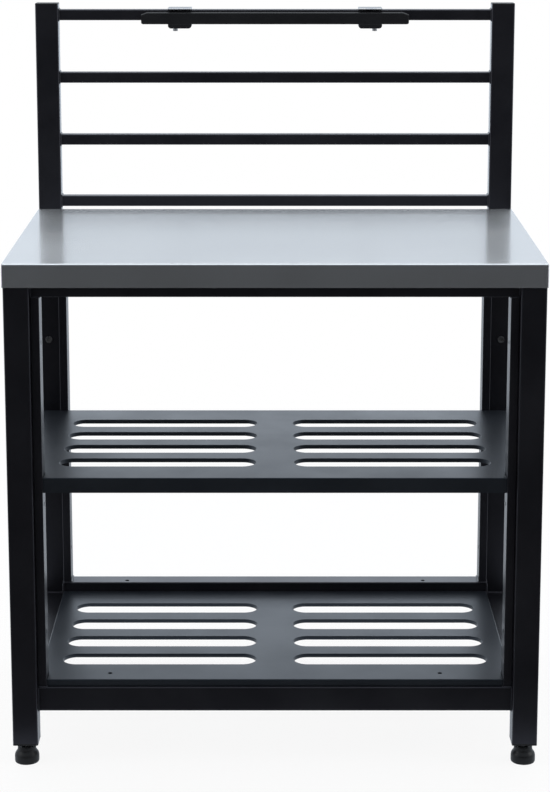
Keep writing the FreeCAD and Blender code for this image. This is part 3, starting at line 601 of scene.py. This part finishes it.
# Shares of a bolt head's width, and of its height
SOCKET_RADIUS, SOCKET_RIM, SOCKET_DEPTH = 0.26, 0.33, 0.62
HEAD_DOME = ((0.42, 0.06), (0.47, 0.24), (0.5, 0.55), (0.5, 1.0))
RACK_BOLT = {"head": 0.014, "height": 0.004, "shank": 0.008, "length": 0.0944}
SHELF_BOLT = {"head": 0.010, "height": 0.004, "shank": 0.006, "length": 0.014}
RACK_BOLT_X, RACK_BOLT_Y, RACK_BOLT_LEVELS = 0.4269, 0.300, (0.636, 0.790)
UPRIGHT_X = 0.3979
FRONT_BOLT_Y, REAR_BOLT_Y = -0.2369, 0.1681
MID_BOLT_LEVEL, LOWER_BOLT_LEVEL = 0.492, 0.141
LOWER_BOLT_X = (0.020, 0.385)
CAP_TOP, CAP_INSET, CAP_CORNER, CAP_BROW = 0.0025, 0.0025, 0.003, 0.0014
PLUG_WALL, PLUG_DEPTH, PLUG_EDGE = 0.0021, 0.0035, 0.0009


def socket_bolt(head, height, shank, length):
    """A domed bolt with a hexagon socket; its head starts at Z = 0 and its shank goes up."""
    bm = bmesh.new()
    sides = ring(bm, steps=6, radius=head * SOCKET_RADIUS)
    bmesh.ops.subdivide_edges(bm, edges=sides, cuts=3)
    socket = bm.edges[:]
    floor, _ = extruded(bm, socket, (0, 0, height * SOCKET_DEPTH))
    bmesh.ops.edgeloop_fill(bm, edges=floor)
    radius, level = head * SOCKET_RIM, 0.0
    edges = ring(bm, SCREW_STEPS, radius)
    bmesh.ops.bridge_loops(bm, edges=socket + edges)
    for aim, rise in HEAD_DOME:
        edges, points = extruded(bm, edges, (0, 0, height * rise - level))
        bmesh.ops.scale(bm, vec=(head * aim / radius, head * aim / radius, 1), verts=points)
        radius, level = head * aim, height * rise
    edges, points = extruded(bm, edges)
    bmesh.ops.scale(bm, vec=(shank / 2 / radius, shank / 2 / radius, 1), verts=points)
    tip, _ = extruded(bm, edges, (0, 0, length))
    bmesh.ops.edgeloop_fill(bm, edges=tip)
    bmesh.ops.recalc_face_normals(bm, faces=bm.faces)
    return bm


def make_bolts(node, name, places, sizes):
    """The bolts of one node; each place comes with the way its shank goes along Y."""
    bm = bmesh.new()
    for place, way in places:
        turn = TO_REAR if way > 0 else TO_FRONT
        join(bm, socket_bolt(**sizes), Matrix.Translation(place) @ turn)
    finish_piece(bm, name, ZINC, stands_for=[node])


def make_all_bolts():
    """Rack bolts from behind, and shelf bolts that start inside the trays' lips."""
    rear = [((sign * RACK_BOLT_X, RACK_BOLT_Y, z), -1)
            for _, sign in SIDES for z in RACK_BOLT_LEVELS]
    make_bolts("rack_bolts", "rack_socket_bolts", rear, RACK_BOLT)
    mid = [((sign * UPRIGHT_X, y, MID_BOLT_LEVEL), way)
           for y, way in ((FRONT_BOLT_Y, -1), (REAR_BOLT_Y, 1)) for _, sign in SIDES]
    make_bolts("mid_shelf_bolts", "mid_shelf_socket_bolts", mid, SHELF_BOLT)
    lower = [((sign * x, REAR_BOLT_Y, LOWER_BOLT_LEVEL), 1)
             for _, sign in SIDES for x in LOWER_BOLT_X]
    make_bolts("lower_shelf_bolts", "lower_shelf_socket_bolts", lower, SHELF_BOLT)


def make_caps():
    """Moulded caps with rounded corners on the posts, each with a plug in its tube."""
    for side, _ in SIDES:
        low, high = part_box(f"post_cap_{side}")
        ledge = high.z - CAP_TOP
        bm = block((low.x, low.y, ledge), high)
        bevel(bm, [e for e in bm.edges if runs_along(e, 2)], CAP_CORNER, segments=5)
        brow = [e for e in bm.edges if all(v.co.z > high.z - NEAR for v in e.verts)]
        bevel(bm, brow, CAP_BROW, segments=4)
        join(bm, block((low.x + CAP_INSET, low.y + CAP_INSET, low.z),
                       (high.x - CAP_INSET, high.y - CAP_INSET, ledge)))
        finish_piece(bm, f"post_end_cap_{side}", PLASTIC,
                     stands_for=[f"post_cap_{side}"])


def make_plugs():
    """Moulded plugs in the open ends of the rear bottom rail and at the feet of the posts."""
    low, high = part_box("bottom_rail_rear")
    ends = [((x, low.y + PLUG_WALL, low.z + PLUG_WALL),
             (x + PLUG_DEPTH, high.y - PLUG_WALL, high.z - PLUG_WALL))
            for x in (low.x, high.x - PLUG_DEPTH)]
    for side, _ in SIDES:
        low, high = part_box(f"rack_post_{side}")
        ends.append(((low.x + PLUG_WALL, low.y + PLUG_WALL, low.z),
                     (high.x - PLUG_WALL, high.y - PLUG_WALL, low.z + PLUG_DEPTH)))
    plugs = bmesh.new()
    for start, end in ends:
        plug = block(start, end)
        bevel(plug, plug.edges, PLUG_EDGE, segments=3)
        join(plugs, plug)
    finish_piece(plugs, "tube_end_plugs", PLASTIC)


# Tool bar with its clamps and screws

BAR_DROP = 0.0028  # how far the bar's top lies below the top of its box
SLOPE_RUN, SLOPE_RISE = 0.011, 0.004
BAR_FRONT_BAND = 0.0045  # height below the top that holds the front edges of top and slopes
BAR_CORNER, BAR_CHAMFER, BAR_EDGE = 0.0035, 0.0018, 0.0006
TOP_BAR_Y, TOP_BAR_Z = 0.281, 1.2415  # middle of the top rack bar
CLAMP_SIDE = [(-0.0221, 0.0120), (0.0159, 0.0120), (0.0159, -0.0245), (-0.0225, -0.0245),
              (-0.0225, -0.0165), (-0.0105, -0.0165), (-0.0105, -0.0103), (0.0103, -0.0103),
              (0.0103, 0.0108), (-0.0221, 0.0108)]
JAW_CORNER, CLAMP_EDGE = 0.0055, 0.0006
PLATE_TOP, PLATE_UNDER = 0.0028, 0.0058  # below the top of the clamp's box
PLATE_BROW, PLATE_EDGE = 0.0024, 0.0005
KNOB_RADIUS, KNOB_HEIGHT = 0.0045, 0.006
KNURL_STEPS, KNURL_SHARE = 36, 0.93  # sides of the knob, and share of its radius in a groove
KNOB_RIM, KNOB_DISH = 0.0012, 0.0006
SCREW_RADIUS, SCREW_TIP, SCREW_CHAMFER = 0.003, 0.0024, 0.0006


def make_tool_bar():
    """The bar's upper corners fall away to its ends, and its upper front edge has a chamfer."""
    low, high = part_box("tool_bar")
    high.z -= BAR_DROP
    bm = block(low, high)
    for x, sign in ((low.x, -1), (high.x, 1)):
        bmesh.ops.bisect_plane(bm, geom=bm.verts[:] + bm.edges[:] + bm.faces[:],
                               plane_co=(x, low.y, high.z - SLOPE_RISE),
                               plane_no=(sign * SLOPE_RISE, 0, SLOPE_RUN), clear_outer=True)
        bmesh.ops.holes_fill(bm, edges=bm.edges, sides=0)
    below = [e for e in bm.edges if runs_along(e, 1) and e.verts[0].co.z < low.z + NEAR]
    bevel(bm, below, BAR_CORNER, segments=5)
    band = high.z - BAR_FRONT_BAND
    front = [e for e in bm.edges if all(v.co.y < low.y + NEAR and v.co.z > band for v in e.verts)]
    bevel(bm, front, BAR_CHAMFER, segments=1)
    bevel(bm, sharp_edges(bm, degrees=15), BAR_EDGE, segments=3)
    finish_piece(bm, "tool_holder_bar", BAR_COAT, "tool_bar", ["tool_bar"])


def make_clamp(side):
    """A C-shaped clamp from its side outline, its jaw's corners rounded, with a plate on top."""
    low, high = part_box(f"bar_clamp_{side}")
    bm = bmesh.new()
    outline = [bm.verts.new((low.x, TOP_BAR_Y + y, TOP_BAR_Z + z)) for y, z in CLAMP_SIDE]
    made = bmesh.ops.extrude_face_region(bm, geom=[bm.faces.new(outline)])["geom"]
    far = [item for item in made if isinstance(item, bmesh.types.BMVert)]
    bmesh.ops.translate(bm, verts=far, vec=(high.x - low.x, 0, 0))
    bmesh.ops.recalc_face_normals(bm, faces=bm.faces)
    jaw = [e for e in bm.edges if runs_along(e, 1) and all(v.co.z < low.z + NEAR for v in e.verts)]
    bevel(bm, jaw, JAW_CORNER, segments=4)
    bevel(bm, sharp_edges(bm, degrees=50), CLAMP_EDGE, segments=2)
    finish_piece(bm, f"bar_clamp_body_{side}", BAR_COAT, "tool_bar",
                 [f"bar_clamp_{side}"])
    top, middle = high.z - PLATE_TOP, (low.y + high.y) / 2
    plate = block((low.x, low.y, high.z - PLATE_UNDER), (high.x, high.y, top))
    brow = [e for e in plate.edges
            if runs_along(e, 0) and all(v.co.z > top - NEAR and v.co.y < middle for v in e.verts)]
    bevel(plate, brow, PLATE_BROW, segments=6)
    bevel(plate, sharp_edges(plate), PLATE_EDGE, segments=3)
    finish_piece(plate, f"bar_clamp_plate_{side}", ZINC, "tool_bar")


def make_clamp_screw(side):
    """A knurled knob with its screw."""
    low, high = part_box(f"clamp_screw_{side}")
    centre, length = (low + high) / 2, high.z - low.z
    knob = bmesh.new()
    made = bmesh.ops.create_cone(knob, cap_ends=True, segments=KNURL_STEPS, radius1=KNOB_RADIUS,
                                 radius2=KNOB_RADIUS, depth=KNOB_HEIGHT,
                                 matrix=Matrix.Translation((0, 0, KNOB_HEIGHT / 2)))["verts"]
    turn = 2 * math.pi / KNURL_STEPS
    grooves = [v for v in made if round(math.atan2(v.co.y, v.co.x) / turn) % 2]
    bmesh.ops.scale(knob, vec=(KNURL_SHARE, KNURL_SHARE, 1), verts=grooves)
    under = min(knob.faces, key=lambda f: f.calc_center_median().z)
    bmesh.ops.inset_individual(knob, faces=[under], thickness=KNOB_RIM, depth=-KNOB_DISH)
    join(knob, spun([(0.0, KNOB_HEIGHT), (SCREW_RADIUS, KNOB_HEIGHT),
                     (SCREW_RADIUS, length - SCREW_CHAMFER), (SCREW_TIP, length), (0.0, length)],
                    SCREW_STEPS))
    bmesh.ops.translate(knob, verts=knob.verts, vec=(centre.x, centre.y, low.z))
    finish_piece(knob, f"clamp_thumb_screw_{side}", ZINC, f"clamp_screw_{side}",
                 [f"clamp_screw_{side}"])


# Feet

GLIDE = [(0.0, 0.0008), (0.0165, 0.0008), (0.0172, 0.0), (0.0190, 0.0), (0.0203, 0.0005),
         (0.0209, 0.0018), (0.0210, 0.0040), (0.0210, 0.0105), (0.0208, 0.0128), (0.0203, 0.0148),
         (0.0195, 0.0166), (0.0184, 0.0182), (0.0173, 0.0196), (0.0165, 0.0210), (0.0160, 0.0226),
         (0.0158, 0.0246), (0.0157, 0.0272), (0.0154, 0.0284), (0.0147, 0.0290), (0.0116, 0.0290),
         (0.0107, 0.0286), (0.0103, 0.0276), (0.0103, 0.0170), (0.0052, 0.0170), (0.0052, 0.0082),
         (0.0, 0.0082)]
HEX_FLATS, HEX_FOOT, HEX_TOP, HEX_EDGE = 0.017, 0.017, 0.026, 0.0007
NUT_TOP, NUT_EDGE = 0.036, 0.0008
STUD_FOOT = [(0.0, 0.0085), (0.0049, 0.0085), (0.0049, 0.017), (0.0042, 0.0262)]
STUD_TIP, STUD_CHAMFER = 0.0034, 0.0008
THREAD_OUTER, THREAD_INNER, THREAD_PITCH = 0.00495, 0.0041, 0.0015
THREAD_ROOM = 0.028  # height of the hexagon's top, plus the plain end above the thread
THREAD_STEPS = 20
TOOTH = ((THREAD_INNER, 0.0), (THREAD_OUTER, 0.45), (THREAD_OUTER, 0.55), (THREAD_INNER, 1.0))


def thread(low, turns):
    """A screw thread about Z, one turn's tooth drawn up a helix."""
    bm = bmesh.new()
    points = [bm.verts.new((radius, 0.0, low + THREAD_PITCH * share)) for radius, share in TOOTH]
    edges = [bm.edges.new(pair) for pair in zip(points, points[1:])]
    bmesh.ops.spin(bm, geom=points + edges, cent=(0, 0, 0), axis=(0, 0, 1),
                   dvec=(0, 0, THREAD_PITCH / THREAD_STEPS), angle=2 * math.pi * turns,
                   steps=THREAD_STEPS * turns, use_merge=False, use_duplicate=False)
    bmesh.ops.remove_doubles(bm, verts=bm.verts, dist=NEAR)
    bmesh.ops.recalc_face_normals(bm, faces=bm.faces)
    return bm


def make_feet():
    """Bell-shaped pads on threaded studs, with counter nuts that stay under the legs."""
    nuts = bmesh.new()
    for corner in CORNERS:
        low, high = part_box(f"foot_glide_{corner}")
        spot = Matrix.Translation(((low.x + high.x) / 2, (low.y + high.y) / 2, 0.0))
        glide = bmesh.new()
        join(glide, spun(GLIDE), spot)
        finish_piece(glide, f"foot_pad_{corner}", PLASTIC, f"foot_{corner}",
                     [f"foot_glide_{corner}"])
        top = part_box(f"foot_stud_{corner}")[1].z
        tip = [(THREAD_INNER, top - STUD_CHAMFER), (STUD_TIP, top), (0.0, top)]
        stud = bmesh.new()
        join(stud, hexagon(HEX_FLATS, HEX_FOOT, HEX_TOP, HEX_EDGE), spot)
        join(stud, thread(HEX_TOP, int((top - THREAD_ROOM) / THREAD_PITCH)), spot)
        join(stud, spun(STUD_FOOT + tip, SCREW_STEPS), spot)
        finish_piece(stud, f"foot_screw_{corner}", ZINC, f"foot_{corner}",
                     [f"foot_stud_{corner}"])
        join(nuts, hexagon(HEX_FLATS, HEX_TOP, NUT_TOP, NUT_EDGE), spot)
    finish_piece(nuts, "foot_counter_nuts", ZINC, stands_for=["foot_lock_nuts"])


make_worktop()
make_shelf("mid_shelf", "mid_slotted_shelf", half_width=0.4484, lip=0.026, collar=0.0055)
make_shelf("lower_shelf", "lower_slotted_shelf", half_width=0.4051, lip=0.0125, collar=0.0050,
           holes=MODULE_HOLES, skirt=0.0045)
make_welds()
make_all_bolts()
make_caps()
make_plugs()
make_tool_bar()
for side, _ in SIDES:
    make_clamp(side)
    make_clamp_screw(side)
make_feet()

# Studio

FLOOR_SPAN, FLOOR_DROP, FLOOR_COLOUR = 30, 0.0002, (0.86, 0.86, 0.86, 1.0)
CARD_COLOUR, CARD_ROUGHNESS = (0.050, 0.046, 0.043, 1.0), 0.9
BACKDROP_WHITE = (1, 1, 1, 1)
BACKDROP_COOL = (0.83, 0.908, 1.0, 1.0)  # the backdrop in reflections
FILL_TONE, FILL_STRENGTH = (0.93, 0.96, 1.0, 1.0), 0.55  # the backdrop as a light
SENSOR_WIDTH, LENS, LENS_SHIFT = 36.0, 97.297, -0.18
CAMERA_PLACE, CAMERA_TILT = (0.0, -3.7482, 1.5255), 10.399  # metres, degrees below level


def stage_sheet(name, width, depth, placed, finish):
    """A flat sheet of the studio, which is no piece of the object."""
    bm = bmesh.new()
    bmesh.ops.create_grid(bm, x_segments=1, y_segments=1, size=0.5)
    bmesh.ops.scale(bm, vec=(width, depth, 1), verts=bm.verts)
    bmesh.ops.transform(bm, matrix=placed, verts=bm.verts)
    mesh = bpy.data.meshes.new(name)
    bm.to_mesh(mesh)
    bm.free()
    mesh.materials.append(finish)
    sheet = bpy.data.objects.new(name, mesh)
    scene.collection.objects.link(sheet)
    return sheet


def seen_directly(tree):
    """One where a ray comes from the camera, a gloss or a clear piece."""
    path = add(tree, "LightPath").outputs
    either = add(tree, "Math", {0: path["Is Camera Ray"], 1: path["Is Glossy Ray"]},
                 operation="MAXIMUM")
    return add(tree, "Math", {0: either.outputs["Value"], 1: path["Is Transmission Ray"]},
               operation="MAXIMUM").outputs["Value"]


def make_floor():
    """A pale veil of a floor that keeps a soft shadow and hides no foot wound out below it."""
    finish = bpy.data.materials.new("studio_floor")
    finish.use_nodes = True
    tree = finish.node_tree
    tree.nodes.clear()
    place = add(tree, "TexCoord").outputs["Object"]
    away = add(tree, "VectorMath", {0: place}, operation="LENGTH").outputs["Value"]
    melt = add(tree, "MapRange", {"Value": away},
               {"From Min": 0.7, "From Max": 2.6, "To Min": 0.91, "To Max": 1.0},
               interpolation_type="SMOOTHSTEP")
    share = add(tree, "Math", {0: melt.outputs["Result"], 1: seen_directly(tree)},
                operation="MULTIPLY")
    paper = add(tree, "BsdfDiffuse", values={"Color": FLOOR_COLOUR})
    clear = add(tree, "BsdfTransparent")
    mix = add(tree, "MixShader", {0: share.outputs["Value"], 1: paper.outputs[0],
                                  2: clear.outputs[0]})
    add(tree, "OutputMaterial", {"Surface": mix.outputs[0]})
    stage_sheet("studio_floor", width=FLOOR_SPAN, depth=FLOOR_SPAN,
                placed=Matrix.Translation((0, 0, -FLOOR_DROP)), finish=finish)


def make_dark_cards():
    """Dark cards before the object, seen only in reflections, as the unlit room before a set."""
    finish, _, _ = new_finish("dark_card", Base_Color=CARD_COLOUR, Roughness=CARD_ROUGHNESS)
    lying = Matrix.Translation((0, -4.22, 0.002))
    upright = Matrix.Translation((0, -8.0, 1.5)) @ TO_FRONT
    cards = (stage_sheet("dark_floor_card", width=8.0, depth=7.6, placed=lying, finish=finish),
             stage_sheet("dark_wall_card", width=16.0, depth=3.0, placed=upright, finish=finish))
    for card in cards:
        card.visible_camera = card.visible_diffuse = False
        card.visible_shadow = card.visible_transmission = False


def make_world():
    """A backdrop that the camera sees white, reflections see cool, and that lights softly."""
    world = bpy.data.worlds.new("white_studio")
    scene.world = world
    world.use_nodes = True
    tree = world.node_tree
    tree.nodes.clear()
    soft = add(tree, "Background", values={"Color": FILL_TONE, "Strength": FILL_STRENGTH})
    white = add(tree, "Background", values={"Color": BACKDROP_WHITE, "Strength": 1.0})
    cool = add(tree, "Background", values={"Color": BACKDROP_COOL, "Strength": 1.0})
    glossy = add(tree, "LightPath").outputs["Is Glossy Ray"]
    shown = add(tree, "MixShader", {0: glossy, 1: white.outputs[0], 2: cool.outputs[0]})
    mix = add(tree, "MixShader", {0: seen_directly(tree), 1: soft.outputs[0], 2: shown.outputs[0]})
    add(tree, "OutputWorld", {"Surface": mix.outputs[0]})


def make_softbox(name, place, aim, width, depth, power, tone=(1.0, 1.0, 1.0)):
    """A lamp with a broad face, turned towards a point."""
    lamp = bpy.data.lights.new(name, "AREA")
    lamp.color = tone
    lamp.shape, lamp.size, lamp.size_y, lamp.energy = "RECTANGLE", width, depth, power
    box = bpy.data.objects.new(name, lamp)
    scene.collection.objects.link(box)
    box.location = place
    box.rotation_euler = (Vector(aim) - Vector(place)).to_track_quat("-Z", "Y").to_euler()


def make_camera():
    """A camera close to the photo's, with a tilt and a small lens shift."""
    lens = bpy.data.cameras.new("photo_camera")
    lens.sensor_width, lens.lens, lens.shift_y = SENSOR_WIDTH, LENS, LENS_SHIFT
    camera = bpy.data.objects.new("photo_camera", lens)
    scene.collection.objects.link(camera)
    camera.location = CAMERA_PLACE
    camera.rotation_euler = (math.radians(90 - CAMERA_TILT), 0.0, 0.0)
    scene.camera = camera


make_floor()
make_dark_cards()
make_world()
make_softbox("top_softbox", place=(0.0, 0.5, 3.4), aim=(0.0, 0.0, 0.6), width=3.0, depth=2.2,
             power=70.0, tone=(0.92, 0.965, 1.0))
make_softbox("rear_softbox", place=(0.0, 3.2, 0.8), aim=(0.0, 0.0, 0.7), width=5.0, depth=1.1,
             power=21.5, tone=(0.80, 0.89, 1.0))
make_softbox("left_softbox", place=(-3.2, -0.9, 1.9), aim=(0.0, 0.0, 0.7), width=1.6, depth=2.2,
             power=24.0)
make_softbox("right_softbox", place=(3.2, -0.4, 1.9), aim=(0.0, 0.0, 0.7), width=1.6, depth=2.2,
             power=30.0)
make_camera()

bpy.context.view_layer.update()
